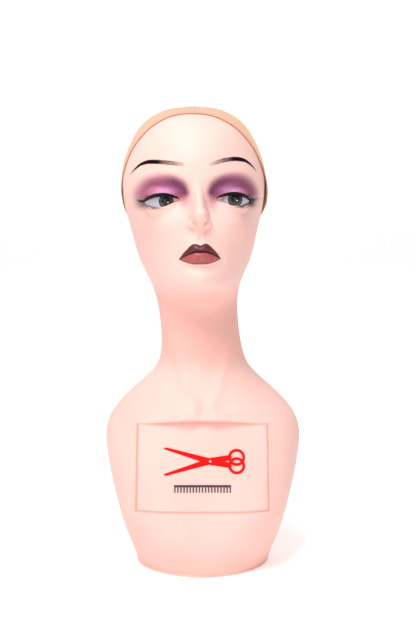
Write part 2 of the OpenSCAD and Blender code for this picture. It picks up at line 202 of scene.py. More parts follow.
def add_eyes(h, x, z):
    u, w, inside = eye_field(x, z)
    h = h - 9.5 * bump(u + 17.5, 9.5) * bump(w - 1.5, 12) - 6.5 * bump(u - 1, 19) * bump(w - 12.5, 8.2)
    h = h - 2.6 * bump(u, 20) * bump(w + 11, 9) + 1.6 * bump(u - 4, 20) * bump(w - 28, 9)
    lid = ball(u, w, 0, 0.5, BALL_R + LID, BALL_FRONT + LID, 0.92)
    lid = lid - 0.012 * np.maximum(np.abs(u) - 4, 0) ** 2
    h = smooth_max(h, lid, mix(9.0, 1.6, ease(w, -5, 3)))
    rim = 0.55 * bump(inside + 0.9, 0.9)
    hollow = BALL_FRONT - BALL_R + np.sqrt(np.maximum(BALL_R ** 2 - u ** 2 - w ** 2, 0)) - 3.0
    return mix(h + rim, np.minimum(hollow, h), ease(inside, -0.4, 0.8))


def add_mouth(h, x, z):
    inside, above, up, down = lip_field(x, z)
    a = np.abs(x)
    across = np.clip(1 - (a / 22.5) ** 2, 0, 1)
    h = h + 5.2 * bump(x, 21) * bump(z - MOUTH_Z - 1, 15)
    s_up = np.clip(above / np.maximum(up, 0.3), 0, 1)
    s_low = np.clip(-above / np.maximum(down, 0.3), 0, 1)
    roll_up = 3.1 * np.sin(np.pi * np.clip(s_up, 0, 1) ** 0.75) ** 0.9 * across ** 0.7 * (above > 0)
    roll_low = 3.9 * np.sin(np.pi * np.clip(s_low, 0, 1) ** 0.72) ** 0.85 * across ** 0.7 * (above <= 0)
    h = h + np.where(inside > -0.2, roll_up + roll_low, 0) * ease(inside, -0.3, 1.2)
    h = h + 0.5 * bump(inside + 0.5, 0.8) * bump(x, 16)
    h = h - 1.7 * bump(above, 0.8) * ease(inside, -1, 1) * across
    h = h - 1.3 * bump(x, 2.6) * bump(z - 354.5, 4.2) + 0.5 * bump(a - 4.6, 2.2) * bump(z - 354, 4.5)
    h = h - 2.6 * bump(x, 16) * bump(z - 325.2, 4.2)
    h = h - 1.6 * bump(a - 24.5, 3.4) * bump(z - MOUTH_Z + 7.5, 4)
    return h


def add_planes(h, x, z):
    a = np.abs(x)
    h = h + 3.4 * bump(x, 17) * bump(z - 314, 9.5)
    h = h + 3.2 * bump(a - 44, 17) * bump(z - 371, 15) - 2.2 * bump(a - 43, 15) * bump(z - 344, 17)
    h = h + 1.2 * bump(x, 26) * bump(z - 446, 20)
    return h


def add_neck(h, x, z):
    lean = through([(158, 4), (175, 9), (200, 19), (240, 31), (285, 42)], z)
    cord = 2.3 * bump(np.abs(x) - lean, 6.5) * ease(z, 160, 178) * (1 - ease(z, 235, 290))
    pit = 3.6 * bump(x, 7.5) * bump(z - 171, 8.5)
    bones = 1.8 * bump(z - through([(0, 160), (20, 168), (45, 176), (70, 184)], np.abs(x)), 6) \
        * ease(np.abs(x), 6, 16) * (1 - ease(np.abs(x), 48, 72))
    shelf = 3.6 * bump(x, 42) * ease(z, 148, 165) * (1 - ease(z, 168, 196))
    return h + cord - pit + bones + shelf


def face_relief(x, z, h):
    """The finished height of the front of the bust, from the plain height h."""
    out = add_neck(add_planes(h, x, z), x, z)
    out = add_mouth(out, x, z)
    out = add_nose(out, x, z)
    return add_eyes(out, x, z)


# %% [markdown]
# ## Turning the head
# The face is sculpted straight ahead, and then the whole head is turned a little to its left,
# leaned and shifted, with the change growing up the neck. The cap and the eyes get the same turn,
# so that they stay seated on the head.

# %% The head's pose
HEAD_TURN, HEAD_LEAN, HEAD_SHIFT = math.radians(5), math.radians(1), -7.6


def posed(p):
    x, y, z = p[..., 0], p[..., 1], p[..., 2]
    k = ease(z, 205, 325)
    turn = HEAD_TURN * k
    lean = np.maximum(z - 325, 0) * math.sin(HEAD_LEAN)
    return np.stack([x * np.cos(turn) - y * np.sin(turn) + HEAD_SHIFT * k - lean,
                     x * np.sin(turn) + y * np.cos(turn),
                     z + x * math.sin(HEAD_LEAN) * k], -1)


# %% [markdown]
# ## Rows and columns of the skin
# The skin is one grid. Rows lie close together where the face and the panel's edges have fine
# shape, and wide apart on the plain neck and shoulders. The front columns keep the same distance
# from the middle over each feature, so a straight edge in the shape follows a straight column.

# %% Where the rows and columns of the skin go
def spaced_rows():
    """Row heights: each stretch is (from, to, step) in millimetres."""
    stretches = [(SHELL_Z, 62, 2.4), (62, 74, 0.6), (74, 148, 2.4), (148, 174, 0.8),
                 (174, 296, 2.6), (296, 322, 1.3), (322, 408, 0.76), (408, 424, 1.1),
                 (424, 440, 0.75), (440, 484, 2.4)]
    heights = [np.arange(a, b - 0.2 * step, step) for a, b, step in stretches]
    z = np.concatenate(heights)
    fine = np.linspace(0, LAST, 8000)
    at = np.interp(z, section(fine)[:, 0], fine)
    return np.concatenate([at, np.arange(at[-1] + 0.12, LAST - 0.05, 0.12), [LAST]])


FRONT_HALF = 92
SIDE_STEPS = 13
BACK_STEPS = 44


def front_reach(z, half):
    """How far from the middle the close columns go at this height."""
    near = through([(0, 55), (30, 66), (62, 74), (175, 74), (205, 36), (290, 28), (322, 40),
                    (345, 50), (372, 60), (405, 73), (440, 73), (470, 50), (500, 30)], z)
    return np.minimum(near, 0.93 * half)


def skin_grid(at, inset=0.0):
    """(points, x across) of the plain skin, rows by columns, starting at the right of the face."""
    s = section(at)
    z, half, front, back, mid, square = (s[:, k, None] for k in range(6))
    half = np.maximum(half - inset, 1e-4)
    reach = front_reach(z, half)
    x_front = reach * np.linspace(1, -1, 2 * FRONT_HALF + 1)
    edge = np.arccos(np.clip((reach / half), 0, 1) ** (square / 2))
    side = edge * np.linspace(0, 1, SIDE_STEPS + 1)[:-1]
    x_side = half * np.cos(side) ** (2 / square)
    back_square = np.minimum(square, 2.3)
    turn = np.linspace(0, math.pi, BACK_STEPS + 1)[:-1]
    x_back = -half * np.sign(np.cos(turn)) * np.abs(np.cos(turn)) ** (2 / back_square)
    y_back = mid + np.maximum(back - mid - inset, 0) * np.sin(turn) ** (2 / back_square)
    x = np.hstack([x_side, x_front, -x_side[:, ::-1][:, :-1]])
    depth = np.maximum(mid - front - inset, 0)
    y = mid - depth * np.maximum(1 - np.clip(np.abs(x) / half, 0, 1) ** square, 0) ** (1 / square)
    points = np.stack([np.hstack([x, x_back]), np.hstack([y, y_back]),
                       np.broadcast_to(z, (len(at), x.shape[1] + BACK_STEPS))], -1)
    return points, x.shape[1]


# %% [markdown]
# ## The recessed chest panel
# A shallow panel is pressed into the chest, flat up its slope and gently rolled across. Its upper
# wall is tall and slanted in the middle, where the chest bulges, and its lower edge is almost flush.

# %% The chest panel's floor and walls
PANEL_W, PANEL_H, PANEL_Z, PANEL_R = 140.0, 91.0, 68.0, 400.0
FLOOR_TILT, FLOOR_Y = math.radians(15.7), -74.8


def floor_height(x, z):
    up = (z - PANEL_Z - PANEL_H / 2) * math.tan(FLOOR_TILT)
    roll = (PANEL_R - np.sqrt(PANEL_R ** 2 - np.clip(x, -90, 90) ** 2)) / math.cos(FLOOR_TILT)
    return -FLOOR_Y - up - roll


def press_panel(h, x, z):
    flare = 1 + 0.008 * (z - PANEL_Z - PANEL_H) / PANEL_H
    side = PANEL_W / 2 / flare - np.abs(x)
    wall_x = ease(side, -0.7, 0.7)
    top_slope = 7.5 * np.clip(1 - (x / 66) ** 2, 0, 1) ** 1.4
    top = PANEL_Z + PANEL_H - 1.0 - top_slope * 0.2
    wall_z = ease(z, PANEL_Z - 0.2, PANEL_Z + 1.4) * (1 - ease(z, top - 0.5, top + 1.2 + top_slope))
    inside = wall_x * wall_z
    floor = np.minimum(floor_height(x, z), h - 1.2)
    at_side = bump(side - 0.9, 0.9) * ease(z, PANEL_Z, PANEL_Z + 2) * (1 - ease(z, top - 2, top + 1))
    at_foot = bump(z - PANEL_Z - 1.6, 0.9) * ease(side, -0.5, 1.5)
    upper_wall = 3.6 * wall_x * wall_z * (1 - wall_z) * ease(z, top - 6, top)
    groove = np.maximum(at_side, 0.8 * at_foot)
    lip = 0.6 * bump(side + 1.3, 1.1) * ease(z, PANEL_Z, PANEL_Z + 3) * (1 - ease(z, top, top + 3))
    # The second value marks the grooves and the slanted upper wall, which get painted shade in the finish.
    return mix(h, floor, inside) - 1.1 * groove + lip, np.clip(groove + upper_wall, 0, 1)


# %% [markdown]
# ## From arrays to a mesh
# One function turns rows of points into a closed mesh: quads between rows, a fan at the crown,
# and a wall with an inner skin, so that the moulding is a real hollow shell.

# %% Mesh helpers
def new_object(name, verts, faces):
    mesh = bpy.data.meshes.new(name)
    mesh.from_pydata([tuple(v) for v in np.asarray(verts) * MM], [], faces)
    mesh.validate()
    mesh.polygons.foreach_set("use_smooth", [True] * len(mesh.polygons))
    mesh.update()
    obj = bpy.data.objects.new(name, mesh)
    bpy.context.scene.collection.objects.link(obj)
    return obj


def round_quads(rows, cols, start=0, out=True):
    """Quads round a closed grid whose columns run clockwise seen from above."""
    i, j = np.meshgrid(np.arange(rows - 1), np.arange(cols), indexing="ij")
    a, b = start + i * cols + j, start + i * cols + (j + 1) % cols
    quads = np.stack([a, a + cols, b + cols, b] if out else [a, b, b + cols, a + cols], -1)
    return quads.reshape(-1, 4).tolist()


def set_field(obj, name, values):
    """Stores one number per point, which a material reads by name."""
    field = obj.data.attributes.new(name, "FLOAT", "POINT")
    field.data.foreach_set("value", np.asarray(values, np.float32))


# %% The shell of the bust
def bust_points(at):
    plain, front_cols = skin_grid(at)
    x, y, z = plain[..., 0], plain[..., 1], plain[..., 2]
    in_front = np.zeros(x.shape, bool)
    in_front[:, :front_cols] = True
    half = section(at)[:, 1, None]
    facing = np.where(in_front, ease(1 - np.abs(x) / np.maximum(half, 1e-4), 0.02, 0.2), 0)
    h = -y
    shaped, groove = press_panel(face_relief(x - FACE_X * ease(z, 205, 325), z, h), x, z)
    return np.stack([x, -mix(h, shaped, facing), z], -1), in_front, np.where(in_front, groove, 0)


def make_shell():
    at = spaced_rows()
    flat, in_front, groove = bust_points(at)
    rows, cols = flat.shape[:2]
    inner_at = np.linspace(0, LAST - 0.6, 34)
    inner = skin_grid(inner_at, WALL)[0][:, ::4]
    room = 9 * ease(inner[..., 2], PANEL_Z - 14, PANEL_Z + 70) * (1 - ease(inner[..., 2], 165, 182))
    eyes = 9 * bump(inner[..., 2] - EYE_Z, 22) * ease(-inner[..., 1], 20, 60)
    inner[..., 1] += (room + eyes) * ease(-inner[..., 1], 10, 50)
    in_rows, in_cols = inner.shape[:2]
    outer_n, top = (rows - 1) * cols, flat[-1:, 0]
    verts = np.vstack([posed(flat[:-1]).reshape(-1, 3), posed(top),
                       posed(inner).reshape(-1, 3), posed(np.array([[0, 16, HEAD_TOP - WALL]]))])
    faces = round_quads(rows - 1, cols)
    last = outer_n - cols
    faces += [[last + j, outer_n, last + (j + 1) % cols] for j in range(cols)]
    start = outer_n + 1
    faces += round_quads(in_rows, in_cols, start, out=False)
    in_last, in_top = start + (in_rows - 1) * in_cols, len(verts) - 1
    faces += [[in_last + j, in_last + (j + 1) % in_cols, in_top] for j in range(in_cols)]
    for j in range(in_cols):
        k, nxt = start + j, start + (j + 1) % in_cols
        ring = [(4 * j + s) % cols for s in range(5)] if j < in_cols - 1 else list(range(4 * j, cols)) + [0]
        faces += [[ring[s], ring[s + 1], k] for s in range(len(ring) - 1)] + [[ring[-1], nxt, k]]
    shell = new_object("bust_skin", verts, faces)
    x = np.append(flat[:-1, :, 0].ravel(), 0) - FACE_X
    z = np.append(flat[:-1, :, 2].ravel(), HEAD_TOP)
    face = np.append(in_front[:-1].ravel(), False)
    spare = len(verts) - len(x)
    paint_fields(shell, x, z, face, spare)
    set_field(shell, "groove", np.append(groove[:-1].ravel(), np.zeros(spare + 1)))
    return shell


# %% [markdown]
# ## Where the paint goes
# The make-up is sprayed and brushed on. Each painted edge is a signed distance in millimetres,
# stored on the mesh: positive inside the shape. The distances change smoothly between points,
# so the material can draw an edge much sharper than the mesh.

# %% Fields for the painted face
BROWS = {
    -1: [(15.0, 431.6), (24, 432.8), (32, 434.1), (41, 435.3), (50, 436.0), (57, 434.6), (63, 430.8),
         (69, 424.8)],
    1: [(12.5, 431.0), (21.5, 433.9), (31, 436.3), (41, 437.3), (49, 436.6), (55.5, 433.8),
        (60.5, 430.0), (64.5, 426.0)]}
BROW_HALF = [(0, 1.5), (0.12, 2.1), (0.35, 2.2), (0.62, 2.2), (0.76, 1.6), (0.9, 0.85), (1, 0.15)]


def brow_fields(x, z):
    """(signed distance inside a brow, place along it from 0 to 1)."""
    inside, along = np.full(x.shape, -20.0), np.zeros(x.shape)
    for side, points in BROWS.items():
        mine = np.sign(x) == side
        a, first, last = np.abs(x), points[0][0], points[-1][0]
        u = np.clip((a - first) / (last - first), 0, 1)
        height = through(points, a)
        steep = np.gradient(through(points, np.linspace(first, last, 60)), (last - first) / 59)
        lean = np.sqrt(1 + np.interp(a, np.linspace(first, last, 60), steep) ** 2)
        half = np.interp(u, *np.array(BROW_HALF).T)
        d = half - np.abs(z - height) / lean
        d = np.minimum(d, np.minimum(a - first + 0.5, last - a + 0.2))
        inside = np.where(mine, d, inside)
        along = np.where(mine, u, along)
    return inside, along


def shadow_fields(x, u, w):
    """The soft eyeshadow: an overall haze, the dark crease, the pearly lid and the outer smudge."""
    tall = np.where(w > 7, 22.5, 13.0)
    reach = np.sqrt(((u - 1) / 30) ** 2 + ((w - 7) / tall) ** 2)
    haze = (1 - ease(reach, 0.55, 1.12)) * ease(w, -4.5, 3)
    pink = 0.42 * bump(u + 23, 6) * bump(w + 1, 7)
    arch = np.sqrt(((u + 1) / 25) ** 2 + ((w - 3) / 18) ** 2) - 0.95
    crease = bump(arch, 0.36) * ease(w, 0, 8)
    outer = np.where(x > 0, 0.74, 0.4)
    crease *= outer + (1 - outer) * ease(-u, -2, 15) * (1 - ease(-u, 24, 33))
    well = bump(u + 21, 8) * bump(w - 13, 10)
    shade = np.clip(np.maximum(crease, 0.95 * well), 0, 1) * (1 - ease(reach, 0.82, 1.16))
    shimmer = bump(u + 3, 10) * bump(w - 10, 3.9)
    tail = 1.15 * bump(u - 19.5, 7.5) * bump(w + 2.2, 5.6)
    under = bump(u - 10, 11) * bump(w - through(LOWER_LID, u) + 0.7, 1.1)
    smudge = np.where(x > 0, 1.1, 0.75) * np.maximum(tail, under) * ease(u, -5, 10)
    return np.clip(haze * 0.9 + pink, 0, 1), shade, np.clip(shimmer, 0, 1), smudge


def paint_fields(shell, x, z, face, spare):
    far = -20.0
    lips, above = lip_field(x, z)[:2]
    u, w = eye_field(x, z)[:2]
    brow, along = brow_fields(x, z)
    top = through(UPPER_LID, u)
    thick = np.interp(u, [-18.5, -13, -4, 6, 17, 21, 25], [1.3, 2.5, 3.9, 4.2, 3.8, 2.4, 0.3])
    outer_top = np.where(u > 18.3, -1.4 + 0.3 * (u - 18.3), top)
    liner = np.minimum(thick / 2 - np.abs(w - outer_top - thick / 2 + 0.1), 24.0 - u)
    liner = np.where((u > -18.5) & (w > -4), liner, far)
    haze, shade, shimmer, smudge = shadow_fields(x, u, w)
    tear = bump(u + 18.8, 1.5) * bump(w - 1.0, 1.1)
    a = np.abs(x)
    # Cheek blush, and painted shade on the nose: its base, the nostrils and the creases under its wings get
    # a deeper pink.
    blush_and_nose_shade = bump(a - 52, 17) * bump(z - 362, 22) + 0.5 * bump(x, 13) * bump(z - 366, 7)
    blush_and_nose_shade = blush_and_nose_shade + 3.0 * nostril(x, z) + 0.6 * bump(a - 12.4, 3.2) * bump(z - 364.4, 2.8)
    # Painted shade: a deeper pink on the neck under the chin, on the low sides of the chest and round the
    # foot.
    deeper = 1.9 * ease(z, 205, 235) * (1 - ease(z, 290, 308))
    deeper = deeper + 1.4 * np.maximum(ease(a, 30, 75) * (1 - ease(z, 35, 85)), 1 - ease(z, 6, 48))
    soft = {"haze": haze, "shade": shade, "shimmer": shimmer, "smudge": smudge, "tear": tear,
            "blush_and_nose_shade": np.clip(blush_and_nose_shade, 0, 3.2), "deeper": deeper}
    edges = {"lips": lips, "lip_above": above, "brow": brow, "brow_along": along, "liner": liner}
    for name, values in {**edges, **soft}.items():
        seen = np.where(face | (name == "deeper"), values, 0.0 if name in soft else far)
        set_field(shell, name, np.append(seen, np.full(spare, 0.0 if name in soft else far)))


bust_skin = make_shell()
print("bust_skin:", len(bust_skin.data.polygons), "faces")


# %% [markdown]
# ## The glossy eyes
# Each eye is a shallow lens cut from a ball: its front is the ball's, with a slight bulge over the
# iris, and its back is flat and hidden. It stores how far each point is from the middle of the
# iris, so that the painted iris, pupil and glint follow the curve of the ball.

# %% The eyes
EYE_BACK_Y = -52.0
IRIS = {1: (38.9, 395.2), -1: (-33.2, 394.2)}


def make_eye(name, side):
    rings, spokes = 40, 96
    rho = np.sqrt(np.linspace(0, 1, rings + 1)[1:, None]) * np.ones((1, spokes))
    phi = np.linspace(0, 2 * math.pi, spokes, endpoint=False)[None, :]
    middle_x = side * EYE_X + FACE_X
    x = middle_x + 18.8 * rho * np.sin(phi)
    z = EYE_Z + 10.0 * rho * np.cos(phi)
    x = np.append(x.ravel(), middle_x)
    z = np.append(z.ravel(), EYE_Z)
    iris_x, iris_z = IRIS[side]
    off_x, off_z = x - iris_x - FACE_X, z - iris_z
    bulge = 0.75 * np.maximum(1 - (off_x ** 2 + off_z ** 2) / 8.4 ** 2, 0) ** 1.5
    round_in = np.maximum(BALL_R ** 2 - (x - middle_x) ** 2 - (z - EYE_Z) ** 2, 1)
    y = EYE_BACK_Y - np.sqrt(round_in) - bulge
    middle = rings * spokes
    rim = np.arange(middle - spokes, middle)
    back = np.stack([x[rim], np.full(spokes, EYE_BACK_Y + 1.0), z[rim]], -1)
    verts = np.vstack([np.stack([x, y, z], -1), back, [[middle_x, EYE_BACK_Y + 1.0, EYE_Z]]])
    grid = np.arange(middle).reshape(rings, spokes)
    ahead = np.roll(grid, -1, axis=1)
    faces = np.stack([grid[:-1], ahead[:-1], ahead[1:], grid[1:]], -1).reshape(-1, 4).tolist()
    faces += [[middle, ahead[0, j], grid[0, j]] for j in range(spokes)]
    wall = middle + 1
    for j in range(spokes):
        k = (j + 1) % spokes
        faces += [[rim[j], rim[k], wall + k, wall + j], [wall + j, wall + k, len(verts) - 1]]
    eye = new_object(name, posed(verts), [[int(v) for v in f] for f in faces])
    flat_r = np.full(spokes + 1, 30.0)
    set_field(eye, "iris_x", np.append(off_x, flat_r))
    set_field(eye, "iris_z", np.append(off_z, flat_r))
    return eye


left_eye_ball = make_eye("left_eye_ball", 1)
right_eye_ball = make_eye("right_eye_ball", -1)

# %% [markdown]
# ## Hair, grown by a node tree
# One node tree makes every strip of lashes. It takes a mesh of loose points, each with the way its
# lash leans and how long it is, and puts one curved, tapered hair on each. The same tree with other
# inputs makes the short stitches of the cap.

# %% A node tree that puts a tapered strand on each point
def strand_tree():
    tree = bpy.data.node_groups.new("strands", "GeometryNodeTree")
    face = tree.interface
    face.new_socket("Geometry", in_out="INPUT", socket_type="NodeSocketGeometry")
    for label, value in [("Girth", 0.012), ("Bow", 0.12), ("Tip", 0.12), ("Spread", 0.1)]:
        face.new_socket(label, in_out="INPUT", socket_type="NodeSocketFloat").default_value = value
    for label, value in [("Steps", 6), ("Sides", 4), ("Seed", 7)]:
        face.new_socket(label, in_out="INPUT", socket_type="NodeSocketInt").default_value = value
    face.new_socket("Material", in_out="INPUT", socket_type="NodeSocketMaterial")
    face.new_socket("Geometry", in_out="OUTPUT", socket_type="NodeSocketGeometry")

    def node(kind, wires=None, **values):
        """A new node's outputs, with its inputs linked to sockets or set to values."""
        made = tree.nodes.new(kind)
        for key, value in values.items():
            setattr(made, key, value)
        for label, value in (wires or {}).items():
            if isinstance(value, bpy.types.NodeSocket):
                tree.links.new(value, made.inputs[label])
            else:
                made.inputs[label].default_value = value
        return made.outputs

    given = node("NodeGroupInput")
    bend = node("ShaderNodeCombineXYZ", {"X": 0.55, "Z": given["Bow"]})
    arc = node("GeometryNodeCurveQuadraticBezier",
               {"Start": (0, 0, 0), "Middle": bend[0], "End": (1, 0, 0), "Resolution": given["Steps"]})
    along = node("GeometryNodeSplineParameter")
    thin = node("ShaderNodeMath", {0: given["Girth"], 1: given["Tip"]}, operation="MULTIPLY")
    taper = node("ShaderNodeMapRange",
                 {"Value": along["Factor"], "To Min": given["Girth"], "To Max": thin[0]})
    sized = node("GeometryNodeSetCurveRadius", {"Curve": arc[0], "Radius": taper["Result"]})
    ring = node("GeometryNodeCurvePrimitiveCircle", {"Radius": 1.0, "Resolution": given["Sides"]})
    strand = node("GeometryNodeCurveToMesh",
                  {"Curve": sized[0], "Profile Curve": ring[0], "Fill Caps": True,
                   "Scale": node("GeometryNodeInputRadius")[0]})

    aim = node("GeometryNodeInputNamedAttribute", {"Name": "aim"}, data_type="FLOAT_VECTOR")
    reach = node("GeometryNodeInputNamedAttribute", {"Name": "reach"}, data_type="FLOAT")
    minus = node("ShaderNodeMath", {0: given["Spread"], 1: -1.0}, operation="MULTIPLY")
    stray = node("FunctionNodeRandomValue",
                 {0: minus[0], 1: given["Spread"], "Seed": given["Seed"]}, data_type="FLOAT_VECTOR")
    turned = node("ShaderNodeVectorMath", {0: aim[0], 1: stray[0]}, operation="ADD")
    place = node("GeometryNodeInstanceOnPoints",
                 {"Points": given["Geometry"], "Instance": strand[0], "Rotation": turned[0],
                  "Scale": reach[0]})
    real = node("GeometryNodeRealizeInstances", {0: place[0]})
    smooth = node("GeometryNodeSetShadeSmooth", {0: real[0]})
    paint = node("GeometryNodeSetMaterial", {"Geometry": smooth[0], "Material": given["Material"]})
    node("NodeGroupOutput", {0: paint[0]})
    return tree


STRANDS = strand_tree()


def grow(name, roots, ways, ups, lengths, material, **inputs):
    """A finished mesh of strands: one from each root, along its way, bowed towards its up."""
    seeds = bpy.data.meshes.new(name + "_roots")
    seeds.from_pydata([tuple(p) for p in np.asarray(roots) * MM], [], [])
    turns = []
    for way, up in zip(ways, ups):
        x = Vector(way).normalized()
        y = Vector(up).cross(x).normalized()
        z = x.cross(y)
        turns += Matrix((x, y, z)).transposed().to_euler()[:]
    seeds.attributes.new("aim", "FLOAT_VECTOR", "POINT").data.foreach_set("vector", turns)
    seeds.attributes.new("reach", "FLOAT", "POINT").data.foreach_set("value", np.asarray(lengths) * MM)
    base = bpy.data.objects.new(name + "_roots", seeds)
    bpy.context.scene.collection.objects.link(base)
    modifier = base.modifiers.new("strands", "NODES")
    modifier.node_group = STRANDS
    sockets = {s.name: s.identifier for s in STRANDS.interface.items_tree if s.in_out == "INPUT"}
    for label, value in {"Material": material, **inputs}.items():
        modifier[sockets[label]] = value
    grown = base.evaluated_get(bpy.context.evaluated_depsgraph_get())
    mesh = bpy.data.meshes.new_from_object(grown)
    bpy.data.objects.remove(base)
    mesh.name = name
    obj = bpy.data.objects.new(name, mesh)
    bpy.context.scene.collection.objects.link(obj)
    return obj


# %% [markdown]
# ## Building a finish from nodes
# `Finish` keeps the shader code short. Each method adds one node and gives back its output, and
# `set` puts a number on a socket or links an output to it. Patterns read Object coordinates.

# %% A small builder for materials
def srgb(r, g, b):
    """A colour as seen on a screen, 0 to 255, in the linear values that a shader needs."""
    c = np.array([r, g, b]) / 255
    return (*np.where(c <= 0.04045, c / 12.92, ((c + 0.055) / 1.055) ** 2.4).tolist(), 1.0)


class Finish:
    def __init__(self, name, colour=None, **sockets):
        self.material = bpy.data.materials.new(name)
        self.material.use_nodes = True
        self.tree = self.material.node_tree
        self.skin = self.tree.nodes["Principled BSDF"]
        self.place = self.node("ShaderNodeTexCoord").outputs["Object"]
        if colour is not None:
            self.set("Base Color", colour)
            self.material.diffuse_color = colour if isinstance(colour, tuple) else (0.8, 0.6, 0.5, 1)
        for label, value in sockets.items():
            self.set(label.replace("_", " "), value)

    def node(self, kind, **values):
        made = self.tree.nodes.new(kind)
        for key, value in values.items():
            setattr(made, key, value)
        return made

    def put(self, socket, value):
        if isinstance(value, bpy.types.NodeSocket):
            self.tree.links.new(value, socket)
        else:
            socket.default_value = value

    def set(self, label, value):
        self.put(self.skin.inputs[label], value)

    def field(self, name):
        return self.node("ShaderNodeAttribute", attribute_name=name).outputs["Fac"]

    def math(self, operation, a, b=0.0, clamp=False):
        made = self.node("ShaderNodeMath", operation=operation, use_clamp=clamp)
        self.put(made.inputs[0], a)
        self.put(made.inputs[1], b)
        return made.outputs[0]

    def soft(self, value, lo, hi, out_lo=0.0, out_hi=1.0):
        """A soft step between two values of a field."""
        made = self.node("ShaderNodeMapRange", interpolation_type="SMOOTHSTEP")
        for k, v in enumerate((value, lo, hi, out_lo, out_hi)):
            self.put(made.inputs[k], v)
        return made.outputs[0]

    def mix(self, share, a, b, mode="MIX"):
        made = self.node("ShaderNodeMix", data_type="RGBA", blend_type=mode)
        for k, v in ((0, share), (6, a), (7, b)):
            self.put(made.inputs[k], v)
        return made.outputs[2]

    def noise(self, scale, detail=3.0, rough=0.55, stretch=None, vector=None):
        made = self.node("ShaderNodeTexNoise")
        where = vector or self.place
        if stretch:
            mapping = self.node("ShaderNodeMapping")
            self.put(mapping.inputs["Vector"], where)
            mapping.inputs["Scale"].default_value = stretch
            where = mapping.outputs[0]
        self.put(made.inputs["Vector"], where)
        for label, value in (("Scale", scale), ("Detail", detail), ("Roughness", rough)):
            made.inputs[label].default_value = value
        return made.outputs["Fac"]

    def bump(self, height, depth, strength=1.0):
        """Raises the surface by depth metres where the height is 1."""
        made = self.node("ShaderNodeBump")
        made.inputs["Strength"].default_value = strength
        made.inputs["Distance"].default_value = depth
        self.put(made.inputs["Height"], height)
        self.set("Normal", made.outputs[0])

    def on(self, *objects):
        for obj in objects:
            obj.data.materials.clear()
            obj.data.materials.append(self.material)


# %% [markdown]
# ## The painted vinyl
# The vinyl is pale pink with a satin skin. Make-up and painted shade lie over it in layers, from the
# softest to the sharpest: blush and painted shade, sprayed eyeshadow, hair-stroked brows, the black
# lid line, the lips. `deeper` and `groove` tint the neck, the foot and the panel's edges. They are
# painted shade and stay under any light, so leave them out for plain vinyl. The blush field also
# holds painted shade on the base of the nose.

